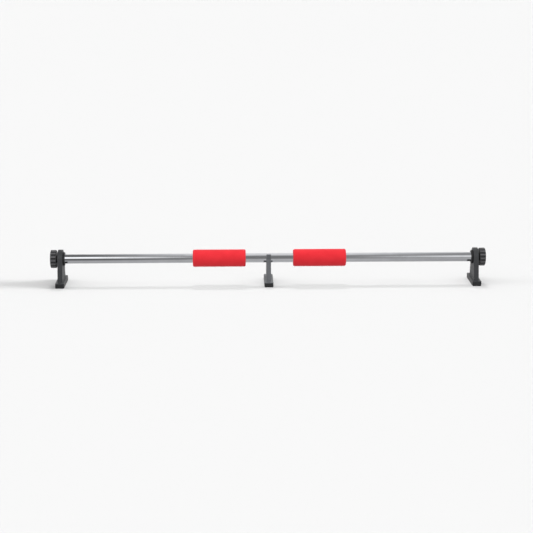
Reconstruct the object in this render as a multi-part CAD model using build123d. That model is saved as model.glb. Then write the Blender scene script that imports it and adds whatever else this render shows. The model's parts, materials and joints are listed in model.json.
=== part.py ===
"""Pull-up bar: a chromed tube clamped between two end brackets by hand knobs, held up at its
middle by an open saddle, with two foam grips. Millimetres. +X runs along the bar to the right,
+Y towards the back and +Z up. The origin is on the standing plane, below the middle of the bar.

The right-hand end is modelled once, and the left-hand end is its mirror image.
"""

from build123d import *
import os
from math import acos, atan2, cos, hypot, sin, tan

# ---- Overall sizes ----
bracket_spacing = 1200.0        # between the middles of the two bracket heads
axis_height = 75.0              # bar axis above the standing plane

# ---- Bar ----
tube_diameter = 26.9
tube_wall = 2.0
end_play = 0.1                  # from each tube end to the floor of its bush

# ---- Foam grips ----
grip_length = 153.0
grip_centre = 145.0             # from the middle of the pair to the middle of a grip
grip_shift = 2.3                # the pair is pushed this far to the right along the bar
foam_thickness = 11.6
grip_corner = 4.5

# ---- Feet, all three alike ----
foot_width = 26.0               # along the bar
foot_depth = 106.0              # across the bar
foot_thickness = 12.0
foot_corner = 4.0
foot_edge = 1.5
foot_ledge = 13.0               # from the toe of the web to the end of the foot
web_root = 1.5                  # fillet where the web meets the foot
web_edge = 1.2                  # rounding of the web's own edges
pad_thickness = 2.0
pad_inset = 0.6                 # the pad is this much smaller than the foot all round

# ---- Screw holes in the feet ----
screw_edge = 6.5                # from the end of the foot to the hole's axis
screw_hole = 5.5
screw_countersink = 10.0
pad_hole = 6.5

# ---- End bracket heads ----
head_thickness = 14.0
head_wall = 10.5                # from the bush sleeve out to the rim
head_outer_wall = 4.0           # left at the bottom of the bush socket
stud_hole_clearance = 0.5       # radial

# ---- Bushes ----
bush_running = 0.08             # radial, tube in bush
bush_wall = 3.0
bush_floor = 1.5
bush_collar_overhang = 3.0
bush_collar_thickness = 5.0
bush_collar_edge = 1.0

# ---- Centre support ----
post_thickness = 13.0
saddle_gap = 0.3                # radial, tube in liner
liner_thickness = 1.8
ear_thickness = 4.5
front_ear_rise = 14.0           # above the bar axis
rear_ear_rise = 6.0
ear_round = 2.0
liner_setback = 1.5             # the liner ends this far below the ears

# ---- Threaded plugs in the tube ends ----
plug_thread_depth = 24.0
thread_diameter = 12.0
thread_play = 0.05              # radial, stud in plug
thread_chamfer = 1.0
pin_diameter = 4.0
pin_length = 8.0
pin_beyond_thread = 5.0         # from the bottom of the thread to the pin's axis
plug_beyond_pin = 5.0           # from the pin's axis to the plug's inner end
pin_below_surface = 0.3

# ---- Studs and washers ----
stud_engagement = 21.0          # thread inside the plug with the knob tight
stud_head_flats = 19.0
stud_head_height = 7.5
stud_tip_chamfer = 1.2
washer_diameter = 24.0
washer_thickness = 2.0
washer_bore_clearance = 0.5     # radial

# ---- Knobs ----
hub_diameter = 22.0
hub_length = 2.4
knob_diameter = 52.0
knob_thickness = 17.0
knob_edge = 2.4
knob_lobes = 14
flute_radius = 3.6
flute_offset = 0.6              # flute centres stand this far outside the rim
lobe_edge = 1.0                 # rounding between a flute and the rim
knob_fit = 0.1                  # round the stud's head and shank
rim_width = 7.0
face_dish = 1.5                 # the face inside the rim is this much lower
cap_diameter = 28.0
cap_body = 2.0                  # below the dished face
cap_rise = 2.5                  # crown of the cap above the dished face

# ---- Worked out from the sizes above ----
tube_radius = tube_diameter / 2
sleeve_radius = tube_radius + bush_running + bush_wall
head_radius = sleeve_radius + head_wall
foot_top = pad_thickness + foot_thickness
web_half = foot_depth / 2 - foot_ledge
screw_y = foot_depth / 2 - screw_edge
stud_radius = thread_diameter / 2 - thread_play
stud_hole_radius = thread_diameter / 2 + stud_hole_clearance

bracket_x = bracket_spacing / 2
head_inner_x = bracket_x - head_thickness / 2
head_outer_x = bracket_x + head_thickness / 2
socket_floor_x = head_outer_x - head_outer_wall
tube_end_x = socket_floor_x - bush_floor - end_play
knob_seat_x = head_outer_x + washer_thickness
knob_inner_x = knob_seat_x + hub_length
knob_outer_x = knob_inner_x + knob_thickness
dish_x = knob_outer_x - face_dish
stud_head_x = dish_x - cap_body
stud_seat_x = stud_head_x - stud_head_height
stud_tip_x = tube_end_x - stud_engagement
pin_x = tube_end_x - plug_thread_depth - pin_beyond_thread
plug_inner_x = pin_x - plug_beyond_pin

bar_axis = Axis((0, 0, axis_height), (1, 0, 0))
upward = (Align.CENTER, Align.CENTER, Align.MIN)


def rod(radius, start_x, end_x):
    """A round rod on the bar axis."""
    place = Pos(start_x, 0, axis_height) * Rot(0, 90, 0)
    return place * Cylinder(radius, end_x - start_x, align=upward)


def turned(outline):
    """A solid of revolution about the bar axis. The outline is a list of (x, radius)."""
    points = [(x, 0, axis_height + radius) for x, radius in outline]
    return revolve(make_face(Polyline(points, close=True)), bar_axis)


def ring_edges(shape, x, radius):
    """The circular edges of a turned shape at this x and radius."""
    circles = shape.edges().filter_by(GeomType.CIRCLE)
    return [e for e in circles if abs(e.center().X - x) < 0.01 and abs(e.radius - radius) < 0.01]


def export(name, shape):
    shape.label = name
    export_step(shape, f"parts/{name}.step")


def export_pair(name, right_shape):
    """Writes the right-hand piece and its mirror image."""
    export("right_" + name, right_shape)
    export("left_" + name, mirror(right_shape, about=Plane.YZ))


# ---- Feet and webs ----

def foot(centre_x):
    """A foot with rounded corners, without its screw holes."""
    block = Pos(centre_x, 0, pad_thickness) * Box(foot_width, foot_depth, foot_thickness, align=upward)
    block = fillet(block.edges().filter_by(Axis.Z), foot_corner)
    return fillet(block.faces().sort_by(Axis.Z)[-1].edges(), foot_edge)


def drill_foot(shape, centre_x):
    """Cuts the two countersunk screw holes."""
    sink_depth = (screw_countersink - screw_hole) / 2
    for side in (-1, 1):
        hole = Pos(centre_x, side * screw_y, 0) * Cylinder(screw_hole / 2, foot_top, align=upward)
        sink = Cone(screw_hole / 2, screw_countersink / 2, sink_depth, align=upward)
        shape = shape - hole - Pos(centre_x, side * screw_y, foot_top - sink_depth) * sink
    return shape


def foot_pad(centre_x):
    """The rubber sheet under a foot."""
    corner = foot_corner - pad_inset
    sketch = RectangleRounded(foot_width - 2 * pad_inset, foot_depth - 2 * pad_inset, corner)
    for side in (-1, 1):
        sketch = sketch - Pos(0, side * screw_y) * Circle(pad_hole / 2)
    return extrude(Pos(centre_x, 0, 0) * sketch, pad_thickness)


def round_web_sides(web):
    """Rounds the long edges of a web, on both of its faces."""
    across = web.edges().filter_by(Axis.X)
    return fillet([e for e in web.edges() - across if e.center().Z > foot_top], web_edge)


def round_web_root(shape, centre_x, thickness):
    """Fillets the corner between a web and the top of its foot."""
    reach_x = thickness / 2 + 0.01
    reach_y = web_half + 0.01
    root = [
        e for e in shape.edges().filter_by_position(Axis.Z, foot_top - 0.01, foot_top + 0.01)
        if abs(e.center().X - centre_x) < reach_x and abs(e.center().Y) < reach_y
    ]
    return fillet(root, web_root)


# ---- End bracket ----

def end_bracket():
    """A-shaped web whose sides are tangent to the round head, on its foot."""
    drop = axis_height - foot_top
    swing = atan2(-drop, web_half) + acos(head_radius / hypot(web_half, drop))
    touch_y = head_radius * cos(swing)
    touch_z = axis_height + head_radius * sin(swing)
    base_y = web_half + foot_thickness * tan(swing)
    outline = [
        Polyline(
            (head_inner_x, -touch_y, touch_z),
            (head_inner_x, -base_y, pad_thickness),
            (head_inner_x, base_y, pad_thickness),
            (head_inner_x, touch_y, touch_z),
        ),
        ThreePointArc(
            (head_inner_x, touch_y, touch_z),
            (head_inner_x, 0, axis_height + head_radius),
            (head_inner_x, -touch_y, touch_z),
        ),
    ]
    web = round_web_sides(extrude(make_face(outline), amount=head_thickness, dir=(1, 0, 0)))
    shape = round_web_root(web + foot(bracket_x), bracket_x, head_thickness)
    shape = shape - rod(sleeve_radius, head_inner_x, socket_floor_x)
    shape = shape - rod(stud_hole_radius, socket_floor_x, head_outer_x)
    return drill_foot(shape, bracket_x)


def bush():
    """Flanged plastic cup that centres the tube's end in the bracket head."""
    bore_radius = tube_radius + bush_running
    collar_radius = sleeve_radius + bush_collar_overhang
    collar_x = head_inner_x - bush_collar_thickness
    shape = turned([
        (collar_x, bore_radius),
        (collar_x, collar_radius),
        (head_inner_x, collar_radius),
        (head_inner_x, sleeve_radius),
        (socket_floor_x, sleeve_radius),
        (socket_floor_x, stud_hole_radius),
        (socket_floor_x - bush_floor, stud_hole_radius),
        (socket_floor_x - bush_floor, bore_radius),
    ])
    return fillet(ring_edges(shape, collar_x, collar_radius), bush_collar_edge)


# ---- Centre support ----

saddle_radius = tube_radius + saddle_gap + liner_thickness
ear_half = saddle_radius + ear_thickness


def side_slab(outline, thickness):
    """A slab across the middle of the bar, from a side outline of (y, z) points."""
    points = [(-thickness / 2, y, z) for y, z in outline]
    return extrude(make_face(Polyline(points, close=True)), amount=thickness, dir=(1, 0, 0))


def saddle_cut(radius, thickness):
    """The U-shaped space round the tube, open at the top."""
    clear_height = 2 * front_ear_rise
    slot = Pos(0, 0, axis_height) * Box(thickness, 2 * radius, clear_height, align=upward)
    return slot + rod(radius, -thickness / 2, thickness / 2)


def centre_support():
    """Post on its foot with an open saddle, whose front ear stands higher than the rear one."""
    base_y = web_half + foot_thickness * (web_half - ear_half) / (axis_height - foot_top)
    post = side_slab([
        (-base_y, pad_thickness),
        (-ear_half, axis_height),
        (-ear_half, axis_height + front_ear_rise),
        (0, axis_height + front_ear_rise),
        (0, axis_height + rear_ear_rise),
        (ear_half, axis_height + rear_ear_rise),
        (ear_half, axis_height),
        (base_y, pad_thickness),
    ], post_thickness)
    ear_tops = [
        e for e in post.edges().filter_by(Axis.X)
        if e.center().Z > axis_height + 1 and abs(abs(e.center().Y) - ear_half) < 0.01
    ]
    post = round_web_sides(fillet(ear_tops, ear_round))
    shape = round_web_root(post + foot(0), 0, post_thickness)
    shape = shape - saddle_cut(saddle_radius, post_thickness)
    return drill_foot(shape, 0)


def saddle_liner():
    """Plastic lining of the saddle, the same width as the post."""
    sheet = side_slab([
        (-saddle_radius, axis_height),
        (-saddle_radius, axis_height + front_ear_rise - liner_setback),
        (0, axis_height + front_ear_rise - liner_setback),
        (0, axis_height + rear_ear_rise - liner_setback),
        (saddle_radius, axis_height + rear_ear_rise - liner_setback),
        (saddle_radius, axis_height),
    ], post_thickness)
    sheet = sheet + rod(saddle_radius, -post_thickness / 2, post_thickness / 2)
    above = Pos(0, 0, axis_height + front_ear_rise - liner_setback) * Box(
        post_thickness, 2 * ear_half, 2 * saddle_radius, align=upward
    )
    rear_above = Pos(0, ear_half / 2, axis_height + rear_ear_rise - liner_setback) * Box(
        post_thickness, ear_half, 2 * saddle_radius, align=upward
    )
    return sheet - above - rear_above - saddle_cut(saddle_radius - liner_thickness, post_thickness)


# ---- Bar ----

def pin_hole(radius, low_z, high_z):
    """The upright space for a plug pin, below the bar axis."""
    return Pos(pin_x, 0, low_z) * Cylinder(radius, high_z - low_z, align=upward)


pin_low_z = axis_height - tube_radius + pin_below_surface
pin_high_z = pin_low_z + pin_length


def bar_tube():
    shape = rod(tube_radius, -tube_end_x, tube_end_x) - rod(tube_radius - tube_wall, -tube_end_x, tube_end_x)
    hole = pin_hole(pin_diameter / 2, axis_height - 2 * tube_radius, axis_height - tube_radius / 2)
    return shape - hole - mirror(hole, about=Plane.YZ)


def plug():
    """Threaded steel plug, flush with the tube's end."""
    inner_radius = tube_radius - tube_wall
    shape = rod(inner_radius, plug_inner_x, tube_end_x)
    shape = shape - rod(thread_diameter / 2, tube_end_x - plug_thread_depth, tube_end_x)
    shape = chamfer(ring_edges(shape, tube_end_x, thread_diameter / 2), thread_chamfer)
    return shape - pin_hole(pin_diameter / 2, axis_height - 2 * tube_radius, pin_high_z)


def plug_pin():
    """Grooved pin driven up through the tube into the plug."""
    return pin_hole(pin_diameter / 2, pin_low_z, pin_high_z)


def foam_grip(centre_x):
    start_x = centre_x - grip_length / 2
    end_x = centre_x + grip_length / 2
    outer_radius = tube_radius + foam_thickness
    shape = rod(outer_radius, start_x, end_x)
    corners = ring_edges(shape, start_x, outer_radius) + ring_edges(shape, end_x, outer_radius)
    return fillet(corners, grip_corner) - rod(tube_radius, start_x, end_x)


# ---- Clamping knob ----

def washer():
    outer = rod(washer_diameter / 2, head_outer_x, knob_seat_x)
    return outer - rod(thread_diameter / 2 + washer_bore_clearance, head_outer_x, knob_seat_x)


def hexagon(flats, start_x, end_x):
    """A hexagonal prism on the bar axis."""
    face = Pos(start_x, 0, axis_height) * Rot(0, 90, 0) * RegularPolygon(flats / 2, 6, major_radius=False)
    return extrude(face, amount=end_x - start_x, dir=(1, 0, 0))


def lobed_prism(rim_radius):
    """The knob's outline with its flutes, over the knob's thickness."""
    outline = Circle(rim_radius)
    for place in PolarLocations(rim_radius + flute_offset, knob_lobes):
        outline = outline - place * Circle(flute_radius)
    outline = fillet(outline.vertices(), lobe_edge)
    face = Pos(knob_inner_x, 0, axis_height) * Rot(0, 90, 0) * outline
    return extrude(face, amount=knob_thickness, dir=(1, 0, 0))


def knob():
    """Fluted hand knob with a hub, a dished face, and a pocket for the stud's head."""
    rim_radius = knob_diameter / 2
    body = rod(rim_radius, knob_inner_x, knob_outer_x)
    edges = ring_edges(body, knob_inner_x, rim_radius) + ring_edges(body, knob_outer_x, rim_radius)
    body = fillet(edges, knob_edge) & lobed_prism(rim_radius)
    body = body - rod(rim_radius - rim_width, dish_x, knob_outer_x)
    body = body + rod(hub_diameter / 2, knob_seat_x, knob_inner_x)
    body = body - rod(stud_radius + knob_fit, knob_seat_x, stud_seat_x)
    body = body - hexagon(stud_head_flats + 2 * knob_fit, stud_seat_x, stud_head_x)
    return body - rod(cap_diameter / 2, stud_head_x, dish_x)


def stud():
    """Hexagon-headed screw. Its thread is a plain cylinder of the major diameter."""
    shape = hexagon(stud_head_flats, stud_seat_x, stud_head_x) + rod(stud_radius, stud_tip_x, stud_seat_x)
    return chamfer(ring_edges(shape, stud_tip_x, stud_radius), stud_tip_chamfer)


def knob_cap():
    """Crowned disc pressed into the knob's face over the stud's head."""
    cap_radius = cap_diameter / 2
    crown = [
        Polyline(
            (dish_x, 0, axis_height + cap_radius),
            (stud_head_x, 0, axis_height + cap_radius),
            (stud_head_x, 0, axis_height),
            (dish_x + cap_rise, 0, axis_height),
        ),
        ThreePointArc(
            (dish_x + cap_rise, 0, axis_height),
            (dish_x + cap_rise * 0.8, 0, axis_height + cap_radius * 0.5),
            (dish_x, 0, axis_height + cap_radius),
        ),
    ]
    return revolve(make_face(crown), bar_axis)


# ---- Write every piece ----

os.makedirs("parts", exist_ok=True)

export_pair("bracket", end_bracket())
export_pair("bush", bush())
export_pair("foot_pad", foot_pad(bracket_x))
export("centre_support", centre_support())
export("saddle_liner", saddle_liner())
export("centre_foot_pad", foot_pad(0))
export("bar_tube", bar_tube())
export_pair("plug", plug())
export_pair("plug_pin", plug_pin())
export("left_grip", foam_grip(grip_shift - grip_centre))
export("right_grip", foam_grip(grip_shift + grip_centre))
export_pair("washer", washer())
export_pair("knob", knob())
export_pair("stud", stud())
export_pair("knob_cap", knob_cap())
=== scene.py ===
"""Looks of the pull-up bar: chromed tube, foam grips, painted brackets, plastic knobs and threaded
studs, on a pale studio floor. Metres, in the CAD model's own frame."""
import bpy
import json
import math
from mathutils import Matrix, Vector, noise


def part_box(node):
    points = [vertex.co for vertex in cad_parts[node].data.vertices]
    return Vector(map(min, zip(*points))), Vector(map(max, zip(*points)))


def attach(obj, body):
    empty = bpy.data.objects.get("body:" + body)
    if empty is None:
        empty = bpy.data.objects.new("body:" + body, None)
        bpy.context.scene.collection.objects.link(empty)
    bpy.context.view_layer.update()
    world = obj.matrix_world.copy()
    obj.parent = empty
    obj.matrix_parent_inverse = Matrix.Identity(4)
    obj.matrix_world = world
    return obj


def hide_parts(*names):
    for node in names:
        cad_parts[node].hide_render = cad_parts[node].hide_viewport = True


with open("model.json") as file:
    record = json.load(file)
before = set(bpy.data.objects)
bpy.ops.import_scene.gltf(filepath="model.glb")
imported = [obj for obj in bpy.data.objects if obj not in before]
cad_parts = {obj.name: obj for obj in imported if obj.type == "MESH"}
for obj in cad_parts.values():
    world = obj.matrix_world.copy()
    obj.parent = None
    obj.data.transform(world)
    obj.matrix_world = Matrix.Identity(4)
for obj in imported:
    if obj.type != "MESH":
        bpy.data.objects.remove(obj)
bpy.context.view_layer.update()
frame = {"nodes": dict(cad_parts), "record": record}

MM = 0.001

# ---- Sizes taken from the frame ----
tube_low, tube_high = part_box("bar_tube")
AXIS_HEIGHT = (tube_low[2] + tube_high[2]) / 2
TUBE_RADIUS = (tube_high[2] - tube_low[2]) / 2
TUBE_END = tube_high[0]

# ---- Sizes that repeat the CAD's ----
TUBE_WALL = 2.0 * MM
FOOT_TOP = 14.0 * MM
THREAD_PITCH = 1.75 * MM
STUD_HEAD_HEIGHT = 7.5 * MM
STUD_TIP_CHAMFER = 1.2 * MM

# ---- Sizes of the pieces made here ----
TUBE_EDGE = 0.4 * MM
GRIP_CORNER = 4.5 * MM
GRIP_BORE_GAP = 0.05 * MM
GRIP_BORE_EDGE = 0.8 * MM
GRIP_SKIN_LUMP = 0.12 * MM
GRIP_LUMPS = ((45, 1.3, 0.7), (160, 4.0, 0.3))  # each as fineness along the bar, round it, and share
GRIP_EVEN_BORE = 1.0 * MM       # no lumps this near to the bore
THREAD_CREST = 5.95 * MM
THREAD_DEPTH = 0.95 * MM
THREAD_SLOPE = 2.6              # ridge height per turn of phase, 1 being the full depth
THREAD_ROOT_FLAT = 0.15
STUD_HEAD_EDGE = 0.5 * MM
STUD_NECK_SIZE = 0.97           # of the hexagon's full size, where its head starts
STUD_CROWN_SIZE = 0.95          # and at its end face

# ---- How finely the round pieces are divided ----
TUBE_SEGMENTS = 256
GRIP_SEGMENTS = 128
STUD_SEGMENTS = 72
GRIP_FACE_STEPS = 6
GRIP_CORNER_STEPS = 10
GRIP_LENGTH_STEPS = 90
THREAD_STEPS_PER_PITCH = 14
SHARP_DEGREES = 35
GRIP_SHARP_DEGREES = 60
STUD_SHARP_DEGREES = 40

# ---- Camera ----
CAMERA_DISTANCE = 4.06
CAMERA_ELEVATION = 13.8
CAMERA_AZIMUTH = -1.4
CAMERA_LENS = 94.5
CAMERA_SENSOR = 36.0
CAMERA_REACH = 200.0
CAMERA_AIM = (-0.006, 0.0, 0.049)


# ---- Mesh helpers ----

def new_object(name, vertices, faces, sharp_degrees=SHARP_DEGREES):
    """A smooth-shaded mesh object whose edges stay crisp above the given angle."""
    mesh = bpy.data.meshes.new(name)
    mesh.from_pydata(vertices, [], faces)
    mesh.validate()
    mesh.shade_smooth()
    mesh.set_sharp_from_angle(angle=math.radians(sharp_degrees))
    piece = bpy.data.objects.new(name, mesh)
    bpy.context.scene.collection.objects.link(piece)
    return piece


def around_bar(x, radius, angle):
    """The point at this distance and angle round the bar's axis."""
    return (x, radius * math.sin(angle), AXIS_HEIGHT + radius * math.cos(angle))


def band_faces(rings, segments, closed):
    """The faces between neighbouring rings of vertices, and from the last ring to the first if closed."""
    faces = []
    for i in range(rings if closed else rings - 1):
        a, b = i * segments, (i + 1) % rings * segments
        for k in range(segments):
            n = (k + 1) % segments
            faces.append((a + k, a + n, b + n, b + k))
    return faces


def lathe(name, outline, segments, radius_change=None, sharp_degrees=SHARP_DEGREES):
    """A closed outline of (x, radius) turned about the bar's axis. Where the outline is uneven round
    the bar, radius_change gives what to add to the radius."""
    vertices = []
    for x, radius in outline:
        for k in range(segments):
            angle = 2 * math.pi * k / segments
            change = radius_change(x, radius, angle) if radius_change else 0.0
            vertices.append(around_bar(x, radius + change, angle))
    faces = band_faces(len(outline), segments, closed=True)
    piece = new_object(name, vertices, faces, sharp_degrees)
    face_outwards(piece)
    return piece


def face_outwards(piece):
    """Turns a closed mesh's faces so that its volume is positive."""
    mesh = piece.data
    mesh.calc_loop_triangles()
    volume = 0.0
    for triangle in mesh.loop_triangles:
        a, b, c = (mesh.vertices[i].co for i in triangle.vertices)
        volume += a.dot(b.cross(c))
    if volume < 0:
        mesh.flip_normals()


def arc(centre_x, centre_radius, size, start_degrees, end_degrees, steps):
    """Points of a round corner in an (x, radius) outline."""
    points = []
    for i in range(steps + 1):
        angle = math.radians(start_degrees + (end_degrees - start_degrees) * i / steps)
        points.append((centre_x + size * math.cos(angle), centre_radius + size * math.sin(angle)))
    return points


def spread(start, end, steps):
    """Evenly spaced values between two ends, without the ends."""
    return [start + (end - start) * i / steps for i in range(1, steps)]


# ---- Pieces ----

def make_tube():
    """The chromed tube, with a small broken edge at each end."""
    inner = TUBE_RADIUS - TUBE_WALL
    outline = [
        (-TUBE_END + TUBE_EDGE, TUBE_RADIUS),
        (TUBE_END - TUBE_EDGE, TUBE_RADIUS),
        (TUBE_END, TUBE_RADIUS - TUBE_EDGE),
        (TUBE_END, inner),
        (-TUBE_END, inner),
        (-TUBE_END, TUBE_RADIUS - TUBE_EDGE),
    ]
    piece = lathe("chromed_tube", outline, TUBE_SEGMENTS)
    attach(piece, "bar")
    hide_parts("bar_tube")
    return piece


def make_grip(side):
    """A moulded foam sleeve with round shoulders and a faintly uneven skin."""
    low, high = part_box(side + "_grip")
    radius = (high[2] - low[2]) / 2 - GRIP_SKIN_LUMP
    start, end = low[0] + GRIP_SKIN_LUMP, high[0] - GRIP_SKIN_LUMP
    bore = TUBE_RADIUS + GRIP_BORE_GAP
    bore_edge = bore + GRIP_BORE_EDGE
    shoulder = radius - GRIP_CORNER
    outline = [(start, bore_edge)]
    outline += [(start, r) for r in spread(bore_edge, shoulder, GRIP_FACE_STEPS)]
    outline += arc(start + GRIP_CORNER, shoulder, GRIP_CORNER, 180, 90, GRIP_CORNER_STEPS)
    outline += [(x, radius) for x in spread(start + GRIP_CORNER, end - GRIP_CORNER, GRIP_LENGTH_STEPS)]
    outline += arc(end - GRIP_CORNER, shoulder, GRIP_CORNER, 90, 0, GRIP_CORNER_STEPS)
    outline += [(end, r) for r in spread(shoulder, bore_edge, GRIP_FACE_STEPS)]
    outline += [(end, bore_edge), (end - GRIP_BORE_EDGE, bore), (start + GRIP_BORE_EDGE, bore)]

    def lumps(x, r, angle):
        if r < bore + GRIP_EVEN_BORE:
            return 0.0
        round_bar = Vector((0.0, math.cos(angle), math.sin(angle)))
        total = 0.0
        for along, around, share in GRIP_LUMPS:
            total += share * noise.noise(round_bar * around + Vector((x * along, 0.0, 0.0)))
        return GRIP_SKIN_LUMP * total

    piece = lathe(side + "_foam_grip", outline, GRIP_SEGMENTS, lumps, GRIP_SHARP_DEGREES)
    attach(piece, "bar")
    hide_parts(side + "_grip")
    return piece


def make_stud(side):
    """A hexagon-headed screw, inside the knob and the tube's plug.

    Its ridge winds left-handed, against the knob's joint, which turns like a right-hand thread.
    """
    low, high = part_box(side + "_stud")
    outward = 1 if side == "right" else -1
    head_x, tip_x = (high[0], low[0]) if outward > 0 else (low[0], high[0])
    neck_x = head_x - outward * STUD_HEAD_HEIGHT
    half_flats = (high[1] - low[1]) / 2
    corner = half_flats / math.cos(math.radians(30))
    rings = int(abs(neck_x - tip_x) / THREAD_PITCH * THREAD_STEPS_PER_PITCH)
    vertices = []

    def ring(x, radius_at):
        for k in range(STUD_SEGMENTS):
            angle = 2 * math.pi * k / STUD_SEGMENTS
            vertices.append(around_bar(x, radius_at(angle), angle))

    def hexagon(size):
        def radius_at(angle):
            turn = (angle + math.pi / 6) % (math.pi / 3) - math.pi / 6
            return size * math.cos(math.radians(30)) / math.cos(turn)
        return radius_at

    def thread(x):
        from_tip = abs(x - tip_x)
        limit = THREAD_CREST - max(0.0, STUD_TIP_CHAMFER - from_tip)

        def radius_at(angle):
            phase = (x / THREAD_PITCH - angle / (2 * math.pi)) % 1.0
            ridge = min(1.0, max(0.0, THREAD_SLOPE * abs(phase - 0.5) - THREAD_ROOT_FLAT))
            return min(limit, THREAD_CREST - THREAD_DEPTH * (1 - ridge))
        return radius_at

    for i in range(rings + 1):
        x = tip_x + (neck_x - tip_x) * i / rings
        ring(x, thread(x))
    ring(neck_x, hexagon(corner * STUD_NECK_SIZE))
    ring(neck_x + outward * STUD_HEAD_EDGE, hexagon(corner))
    ring(head_x - outward * STUD_HEAD_EDGE, hexagon(corner))
    ring(head_x, hexagon(corner * STUD_CROWN_SIZE))
    count = len(vertices) // STUD_SEGMENTS
    faces = band_faces(count, STUD_SEGMENTS, closed=False)
    faces.append(tuple(range(STUD_SEGMENTS)))
    last = (count - 1) * STUD_SEGMENTS
    faces.append(tuple(reversed(range(last, last + STUD_SEGMENTS))))
    piece = new_object(side + "_threaded_stud", vertices, faces, STUD_SHARP_DEGREES)
    face_outwards(piece)
    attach(piece, side + "_knob")
    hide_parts(side + "_stud")
    return piece


# ---- Materials ----

# Each colour is linear red, green and blue. Pattern scales are per metre.
POST_PAINTED_LIGHT = 3.3                 # painted light: how much lighter the middle post's copy of the bracket paint is, in place of more light on it
BRACKET_EDGE_WEAR = 0.9 * MM
KNOB_EDGE_WEAR = 0.8 * MM
EDGE_LEAN = (0.02, 0.12)
BEVEL_SAMPLES = 6
# The knob's painted highlight rises from the flute bottoms to the lobe tops between these distances.
FLUTE_BOTTOM = 23.3 * MM        # distance from the bar's axis
LOBE_TOP = 25.8 * MM
# Heights between which the painted shade on the feet's sides fades out
FOOT_SHADE_TOP = (FOOT_TOP - 2.5 * MM, FOOT_TOP - 1.0 * MM)


class Graph:
    """Short calls for building a node tree."""

    def __init__(self, tree):
        self.tree = tree

    def add(self, kind, **settings):
        node = self.tree.nodes.new(kind)
        for key, value in settings.items():
            setattr(node, key, value)
        return node

    def link(self, start, end):
        self.tree.links.new(start, end)

    def maths(self, operation, *values):
        """The result of one operation on values, where each is a number or a socket."""
        node = self.add("ShaderNodeMath", operation=operation)
        for socket, value in zip(node.inputs, values):
            if isinstance(value, (int, float)):
                socket.default_value = value
            else:
                self.link(value, socket)
        return node.outputs["Value"]

    def remap(self, value, low, high, new_low=0.0, new_high=1.0, **settings):
        """The value moved from one range to another, and held at the ends."""
        node = self.add("ShaderNodeMapRange", **settings)
        for key, number in (("From Min", low), ("From Max", high), ("To Min", new_low), ("To Max", new_high)):
            node.inputs[key].default_value = number
        self.link(value, node.inputs["Value"])
        return node.outputs["Result"]


class Surface(Graph):
    """A material, with calls for the patterns its colour, roughness and bumps are made of."""

    def __init__(self, name, base, roughness, metallic=0.0):
        self.material = bpy.data.materials.new(name)
        self.material.use_nodes = True
        super().__init__(self.material.node_tree)
        self.shader = self.tree.nodes["Principled BSDF"]
        self.shader.inputs["Base Color"].default_value = (*base, 1)
        self.shader.inputs["Roughness"].default_value = roughness
        self.shader.inputs["Metallic"].default_value = metallic
        self.place = self.add("ShaderNodeTexCoord").outputs["Object"]

    def stretched(self, scale):
        """The object's coordinates, scaled differently along each axis."""
        node = self.add("ShaderNodeMapping")
        node.inputs["Scale"].default_value = scale
        self.link(self.place, node.inputs["Vector"])
        return node.outputs["Vector"]

    def height(self):
        """Height above the standing plane."""
        split = self.add("ShaderNodeSeparateXYZ")
        self.link(self.place, split.inputs["Vector"])
        return split.outputs["Z"]

    def from_bar(self):
        """Distance from the bar's axis."""
        middle = self.add("ShaderNodeVectorMath", operation="SUBTRACT")
        middle.inputs[1].default_value = (0.0, 0.0, AXIS_HEIGHT)
        self.link(self.place, middle.inputs[0])
        flat = self.add("ShaderNodeVectorMath", operation="MULTIPLY")
        flat.inputs[1].default_value = (0.0, 1.0, 1.0)
        self.link(middle.outputs["Vector"], flat.inputs[0])
        size = self.add("ShaderNodeVectorMath", operation="LENGTH")
        self.link(flat.outputs["Vector"], size.inputs[0])
        return size.outputs["Value"]

    def noise(self, scale, detail=3.0, roughness=0.5, place=None):
        """Cloudy noise, finer for a larger scale."""
        node = self.add("ShaderNodeTexNoise")
        node.inputs["Scale"].default_value = scale
        node.inputs["Detail"].default_value = detail
        node.inputs["Roughness"].default_value = roughness
        self.link(place or self.place, node.inputs["Vector"])
        return node.outputs["Fac"]

    def cells(self, scale):
        """Distance from scattered points, for pores and pits."""
        node = self.add("ShaderNodeTexVoronoi")
        node.inputs["Scale"].default_value = scale
        self.link(self.place, node.inputs["Vector"])
        return node.outputs["Distance"]

    def mix(self, amount, first, second):
        """A colour between two, where each is a colour or a socket."""
        node = self.add("ShaderNodeMix", data_type="RGBA")
        self.link(amount, node.inputs["Factor"])
        for key, colour in (("A", first), ("B", second)):
            socket = [s for s in node.inputs if s.name == key and s.type == "RGBA"][0]
            if isinstance(colour, tuple):
                socket.default_value = (*colour, 1)
            else:
                self.link(colour, socket)
        return [s for s in node.outputs if s.type == "RGBA"][0]

    def worn_edges(self, radius):
        """Near 1 on sharp outer edges, from how far a rounded normal leans from the true one."""
        bevel = self.add("ShaderNodeBevel", samples=BEVEL_SAMPLES)
        bevel.inputs["Radius"].default_value = radius
        true_normal = self.add("ShaderNodeNewGeometry").outputs["Normal"]
        product = self.add("ShaderNodeVectorMath", operation="DOT_PRODUCT")
        self.link(bevel.outputs["Normal"], product.inputs[0])
        self.link(true_normal, product.inputs[1])
        lean = self.maths("SUBTRACT", 1.0, product.outputs["Value"])
        return self.remap(lean, *EDGE_LEAN)

    def bump(self, height, strength, distance, under=None):
        """A normal bent by a height pattern, on top of another bump if one is given."""
        node = self.add("ShaderNodeBump")
        node.inputs["Strength"].default_value = strength
        node.inputs["Distance"].default_value = distance
        self.link(height, node.inputs["Height"])
        if under is not None:
            self.link(under, node.inputs["Normal"])
        return node.outputs["Normal"]

    def finish(self, colour, roughness, normal):
        for key, value in (("Base Color", colour), ("Roughness", roughness), ("Normal", normal)):
            self.link(value, self.shader.inputs[key])
        return self.material


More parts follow.
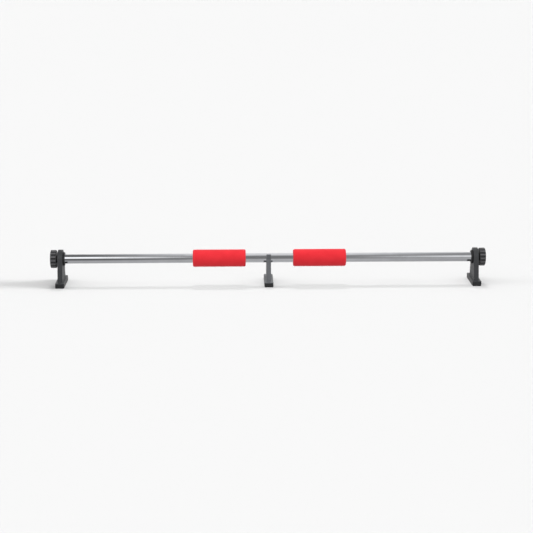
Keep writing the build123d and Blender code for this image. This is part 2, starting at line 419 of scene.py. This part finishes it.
def bracket_paint(name="bracket_powder_coat", tone=1.0):
    """Dark grey powder coat: orange peel, fine speckle, rubbed edges, and painted shade darkening the sides
    of the feet.
    """
    m = Surface(name, (0.05 * tone, 0.053 * tone, 0.056 * tone), 0.45)

    def shade(*colour):
        return tuple(channel * tone for channel in colour)

    mottle = m.noise(38, 4)
    speckle = m.noise(2600, 2)
    colour = m.mix(m.remap(mottle, 0.3, 0.7), shade(0.032, 0.034, 0.037), shade(0.044, 0.046, 0.049))
    colour = m.mix(m.remap(speckle, 0.55, 0.75, 0, 0.35), colour, shade(0.09, 0.094, 0.098))
    # Painted shade: low on the feet, the sides are mixed towards near black.
    painted_foot_shade = m.remap(m.height(), *FOOT_SHADE_TOP, 0.97, 0.0)
    colour = m.mix(painted_foot_shade, colour, (0.018, 0.019, 0.020))
    patches = m.remap(m.noise(240, 4), 0.42, 0.6, 0.1, 0.75)
    wear = m.maths("MULTIPLY", m.worn_edges(BRACKET_EDGE_WEAR), patches)
    colour = m.mix(wear, colour, shade(0.15, 0.155, 0.16))
    roughness = m.remap(m.noise(150, 3), 0.3, 0.7, 0.38, 0.5)
    normal = m.bump(m.noise(620, 2), 0.22, 0.12 * MM)
    normal = m.bump(speckle, 0.12, 0.04 * MM, under=normal)
    return m.finish(colour, roughness, normal)


def chrome():
    """Polished chrome plate with faint drawn lines along the tube and handling haze."""
    m = Surface("chrome_plate", (0.62, 0.63, 0.65), 0.06, metallic=1.0)
    haze = m.noise(22, 5, 0.6)
    drawn = m.noise(1.0, 3, 0.6, place=m.stretched((6, 900, 900)))
    haze_roughness = m.remap(haze, 0.45, 0.75, 0.045, 0.13)
    roughness = m.maths("ADD", haze_roughness, m.remap(drawn, 0.4, 0.8, 0.0, 0.03))
    colour = m.mix(m.remap(haze, 0.35, 0.75), (0.62, 0.63, 0.655), (0.57, 0.58, 0.60))
    normal = m.bump(drawn, 0.05, 0.02 * MM)
    normal = m.bump(m.noise(30, 2), 0.04, 0.2 * MM, under=normal)
    return m.finish(colour, roughness, normal)


def red_foam():
    """Moulded closed-cell foam: a matt skin with fine pores, soft colour variation, and painted shade
    darkening the pits.
    """
    m = Surface("red_foam_skin", (0.72, 0.032, 0.045), 0.78)
    m.shader.inputs["Sheen Weight"].default_value = 0.18
    m.shader.inputs["Sheen Roughness"].default_value = 0.45
    m.shader.inputs["Sheen Tint"].default_value = (1.0, 0.55, 0.68, 1)
    m.shader.inputs["Specular IOR Level"].default_value = 0.3
    clouds = m.noise(28, 4)
    pores = m.cells(1500)
    pits = m.remap(m.cells(520), 0.0, 0.16, 1.0, 0.0)
    colour = m.mix(m.remap(clouds, 0.3, 0.7), (0.85, 0.024, 0.036), (0.94, 0.031, 0.045))
    # Painted shade: the pits are painted a darker red.
    colour = m.mix(m.maths("MULTIPLY", pits, 0.55), colour, (0.48, 0.014, 0.022))
    roughness = m.remap(m.noise(400, 3), 0.3, 0.7, 0.70, 0.86)
    normal = m.bump(pores, 0.35, 0.12 * MM)
    normal = m.bump(m.noise(850, 4, 0.65), 0.30, 0.15 * MM, under=normal)
    normal = m.bump(m.maths("SUBTRACT", 1.0, pits), 0.45, 0.18 * MM, under=normal)
    return m.finish(colour, roughness, normal)


def black_plastic():
    """Moulded black plastic with a spark-eroded grain, shinier where hands rub it; a painted highlight makes
    the lobe tops paler, and rubbed edges are paler from wear and painted highlight together.
    """
    m = Surface("knob_black_plastic", (0.02, 0.02, 0.022), 0.42)
    mottle = m.noise(90, 3)
    wear = m.worn_edges(KNOB_EDGE_WEAR)
    colour = m.mix(m.remap(mottle, 0.3, 0.7), (0.016, 0.016, 0.018), (0.024, 0.024, 0.026))
    # Painted highlight and shade: paler towards the lobe tops, dark down in the flutes.
    painted_lobe_light = m.remap(m.from_bar(), FLUTE_BOTTOM, LOBE_TOP, 0.0, 0.9)
    colour = m.mix(painted_lobe_light, colour, (0.115, 0.115, 0.12))
    # Paler rubbed edges: partly wear, partly a painted highlight on the lobes.
    colour = m.mix(m.maths("MULTIPLY", wear, 0.7), colour, (0.13, 0.13, 0.135))
    grain = m.noise(1900, 3, 0.6)
    rubbed = m.maths("MULTIPLY", wear, 0.12)
    roughness = m.maths("SUBTRACT", m.remap(grain, 0.3, 0.7, 0.30, 0.44), rubbed)
    normal = m.bump(grain, 0.22, 0.06 * MM)
    return m.finish(colour, roughness, normal)


def black_nylon():
    """Turned nylon: matt, with fine rings round the bar."""
    m = Surface("bush_black_nylon", (0.012, 0.012, 0.013), 0.55)
    rings = m.noise(1.0, 2, 0.5, place=m.stretched((2400, 20, 20)))
    colour = m.mix(m.remap(m.noise(120, 3), 0.3, 0.7), (0.009, 0.009, 0.010), (0.018, 0.018, 0.019))
    roughness = m.remap(m.noise(500, 2), 0.3, 0.7, 0.48, 0.62)
    return m.finish(colour, roughness, m.bump(rings, 0.15, 0.05 * MM))


def pad_rubber():
    """Black sheet rubber with a dusty, finely pitted surface."""
    m = Surface("foot_rubber", (0.015, 0.015, 0.015), 0.85)
    dust = m.noise(260, 5, 0.7)
    colour = m.mix(m.remap(dust, 0.5, 0.8, 0, 0.5), (0.012, 0.012, 0.012), (0.06, 0.058, 0.055))
    roughness = m.remap(dust, 0.3, 0.7, 0.78, 0.92)
    return m.finish(colour, roughness, m.bump(m.noise(1400, 3), 0.35, 0.1 * MM))


def zinc_steel():
    """Bright zinc plate over turned steel, with a faint blue and yellow cast."""
    m = Surface("zinc_plated_steel", (0.56, 0.57, 0.58), 0.32, metallic=1.0)
    cast = m.noise(160, 3)
    colour = m.mix(m.remap(cast, 0.35, 0.65), (0.53, 0.55, 0.58), (0.60, 0.58, 0.53))
    turned = m.noise(1.0, 3, 0.6, place=m.stretched((3000, 60, 60)))
    roughness = m.remap(m.noise(700, 3), 0.3, 0.7, 0.26, 0.42)
    return m.finish(colour, roughness, m.bump(turned, 0.2, 0.03 * MM))


def paint(piece, material):
    """Gives every slot of a piece this material, and a slot if it has none."""
    if not piece.material_slots:
        piece.data.materials.append(material)
    for slot in piece.material_slots:
        slot.material = material


# ---- Stage ----

FLOOR_HALF = 60.0
FLOOR_COLOUR = (0.605, 0.605, 0.605)

# Broad soft lights, each as name, azimuth, elevation, strength, softness in degrees, and whether it
# lights the floor alone or all but the floor. Azimuth 0 is the camera's side and 90 is the left.
SUNS = (
    ("key_from_above", 0, 74, 1.1, 40, False),
    ("floor_from_above", 0, 80, 0.15, 40, True),
    ("floor_from_left", 90, 25, 0.6, 24, True),
    ("floor_from_behind", 180, 57, 1.0, 10, True),
    ("floor_from_right", -90, 12, 6.2, 24, True),
)


def make_floor():
    """A matt pale floor that the camera sees, but that gloss and diffuse light on the object don't."""
    corners = []
    for x, y in ((-1, -1), (1, -1), (1, 1), (-1, 1)):
        corners.append((x * FLOOR_HALF, y * FLOOR_HALF, 0))
    floor = new_object("studio_floor", corners, [(0, 1, 2, 3)])
    material = bpy.data.materials.new("studio_floor_paper")
    material.use_nodes = True
    shader = material.node_tree.nodes["Principled BSDF"]
    shader.inputs["Base Color"].default_value = (*FLOOR_COLOUR, 1)
    shader.inputs["Roughness"].default_value = 1.0
    shader.inputs["Specular IOR Level"].default_value = 0.0
    floor.data.materials.append(material)
    floor.visible_glossy = False
    floor.visible_diffuse = False
    return floor


def add_sun(floor, name, azimuth, elevation, strength, softness, lights_floor):
    """One of the lights in SUNS, hidden from gloss."""
    light = bpy.data.lights.new(name, "SUN")
    light.energy = strength
    light.angle = math.radians(softness)
    lamp = bpy.data.objects.new(name, light)
    a, e = math.radians(azimuth), math.radians(elevation)
    towards = Vector((-math.sin(a) * math.cos(e), -math.cos(a) * math.cos(e), math.sin(e)))
    lamp.rotation_euler = towards.to_track_quat("Z", "Y").to_euler()
    lamp.visible_glossy = False
    bpy.context.scene.collection.objects.link(lamp)
    lit = bpy.data.collections.new(name + "_lights")
    lit.objects.link(floor)
    lamp.light_linking.receiver_collection = lit
    lit.collection_objects[0].light_linking.link_state = "INCLUDE" if lights_floor else "EXCLUDE"
    return lamp


def leave_out_shadows(lamp, pieces):
    """Lets a light pass through these pieces, so that they cast no shadow in it."""
    passed = bpy.data.collections.new(lamp.name + "_passes")
    for piece in pieces:
        passed.objects.link(piece)
    lamp.light_linking.blocker_collection = passed
    for member in passed.collection_objects:
        member.light_linking.link_state = "EXCLUDE"


# Brightness seen in gloss round the studio, as (degrees, level). 0 degrees is the front horizon,
# 90 straight up, 180 the back horizon, and negative degrees are below the front horizon. The levels
# change from the middle's to those of the left or right as the direction turns along the bar.
STUDIO_MIDDLE = (
    (-180, 0.9), (-100, 0.88), (-63, 0.72), (-34, 0.83), (-9, 0.45), (5, 0.38), (16, 0.34),
    (41, 0.32), (55, 0.42), (67, 0.63), (85, 1.1), (110, 1.3), (180, 1.2),
)
STUDIO_LEFT = (
    (-180, 0.8), (-100, 0.67), (-64, 0.73), (-35, 0.55), (-16, 0.2), (-3, 0.13), (6, 0.3), (16, 0.95),
    (28, 1.9), (41, 2.4), (52, 1.6), (67, 0.42), (80, 0.2), (97, 0.15), (115, 0.3), (137, 0.63),
    (160, 1.0), (180, 1.2),
)
STUDIO_RIGHT = (
    (-180, 0.8), (-110, 0.7), (-70, 0.57), (-40, 0.74), (-14, 0.6), (0, 0.8), (11, 1.15), (25, 1.5),
    (36, 1.4), (50, 0.75), (62, 0.52), (80, 0.42), (95, 0.4), (110, 0.55), (128, 0.8), (150, 1.0),
    (180, 1.15),
)
STUDIO_TOP_LEVEL = 4.0          # the levels are stored as shares of this
LEFT_FADE = (0.0, 0.12)
RIGHT_FADE = (0.06, 0.18)

# Even diffuse light from above and from below the horizon, and where one fades into the other.
AMBIENT_ABOVE = 0.95
AMBIENT_BELOW = 0.78
HORIZON_FADE = (-0.3, 0.3)


def level_curve(graph, along, levels):
    """The level at a place along the studio's full circle, where along runs from 0 to 1."""
    curve = graph.add("ShaderNodeFloatCurve")
    points = curve.mapping.curves[0].points
    while len(points) < len(levels):
        points.new(0.5, 0.5)
    for point, (degrees, level) in zip(points, levels):
        point.location = (degrees / 360 + 0.5, level / STUDIO_TOP_LEVEL)
    curve.mapping.update()
    graph.link(along, curve.inputs["Value"])
    return graph.maths("MULTIPLY", curve.outputs["Value"], STUDIO_TOP_LEVEL)


def background(graph, strength):
    """White light of this strength."""
    node = graph.add("ShaderNodeBackground")
    graph.link(strength, node.inputs["Strength"])
    return node.outputs["Background"]


def make_world():
    """An even white studio for diffuse light, with soft boxes and dark gaps for gloss."""
    world = bpy.data.worlds.new("studio")
    bpy.context.scene.world = world
    world.use_nodes = True
    world.node_tree.nodes.clear()
    w = Graph(world.node_tree)
    fade = {"interpolation_type": "SMOOTHSTEP"}

    direction = w.add("ShaderNodeSeparateXYZ")
    w.link(w.add("ShaderNodeTexCoord").outputs["Generated"], direction.inputs["Vector"])
    across, depth, height = direction.outputs
    turn = w.maths("ARCTAN2", height, w.maths("MULTIPLY", depth, -1.0))
    along = w.maths("MULTIPLY_ADD", turn, 0.5 / math.pi, 0.5)

    middle = level_curve(w, along, STUDIO_MIDDLE)
    left = level_curve(w, along, STUDIO_LEFT)
    right = level_curve(w, along, STUDIO_RIGHT)
    to_left = w.remap(w.maths("MULTIPLY", across, -1.0), *LEFT_FADE, **fade)
    to_right = w.remap(across, *RIGHT_FADE, **fade)
    level = w.maths("MULTIPLY_ADD", to_left, w.maths("SUBTRACT", left, middle), middle)
    level = w.maths("MULTIPLY_ADD", to_right, w.maths("SUBTRACT", right, middle), level)

    sky = w.remap(height, *HORIZON_FADE, **fade)
    fill = w.maths("MULTIPLY_ADD", sky, AMBIENT_ABOVE - AMBIENT_BELOW, AMBIENT_BELOW)
    choose = w.add("ShaderNodeMixShader")
    w.link(w.add("ShaderNodeLightPath").outputs["Is Glossy Ray"], choose.inputs["Fac"])
    w.link(background(w, fill), choose.inputs[1])
    w.link(background(w, level), choose.inputs[2])
    w.link(choose.outputs["Shader"], w.add("ShaderNodeOutputWorld").inputs["Surface"])


def make_camera():
    """The camera, aimed at the middle of the bar from a little above and to the left."""
    camera = bpy.data.objects.new("camera", bpy.data.cameras.new("camera"))
    camera.data.lens = CAMERA_LENS
    camera.data.sensor_width = CAMERA_SENSOR
    camera.data.clip_end = CAMERA_REACH
    a, e = math.radians(CAMERA_AZIMUTH), math.radians(CAMERA_ELEVATION)
    back = Vector((math.sin(a) * math.cos(e), -math.cos(a) * math.cos(e), math.sin(e)))
    camera.location = Vector(CAMERA_AIM) + back * CAMERA_DISTANCE
    camera.rotation_euler = back.to_track_quat("Z", "Y").to_euler()
    bpy.context.scene.collection.objects.link(camera)
    bpy.context.scene.camera = camera


# ---- Build ----

MATERIALS = {
    "bracket_paint": bracket_paint(),
    "chrome_tube": chrome(),
    "red_foam": red_foam(),
    "black_plastic": black_plastic(),
    "black_nylon": black_nylon(),
    "pad_rubber": pad_rubber(),
    "zinc_steel": zinc_steel(),
}
for part in frame["record"]["subparts"]:
    paint(frame["nodes"][part["node"]], MATERIALS[part["material_slot"]])

# Painted light: the middle post gets a lighter copy of the bracket paint.
paint(frame["nodes"]["centre_support"], bracket_paint("post_coat_painted_light", POST_PAINTED_LIGHT))

tube = make_tube()
paint(tube, MATERIALS["chrome_tube"])
grips = []
for side in ("left", "right"):
    grips.append(make_grip(side))
    paint(grips[-1], MATERIALS["red_foam"])
    paint(make_stud(side), MATERIALS["zinc_steel"])

# The bar and its grips put no grey or red haze on the floor below them.
for piece in [tube] + grips:
    piece.visible_diffuse = False

floor = make_floor()
make_world()
make_camera()
suns = {settings[0]: add_sun(floor, *settings) for settings in SUNS}
not_left = [piece for name, piece in frame["nodes"].items() if not name.startswith("left_")]
leave_out_shadows(suns["floor_from_right"], [tube] + grips + not_left)
bpy.context.scene.view_settings.view_transform = "Standard"
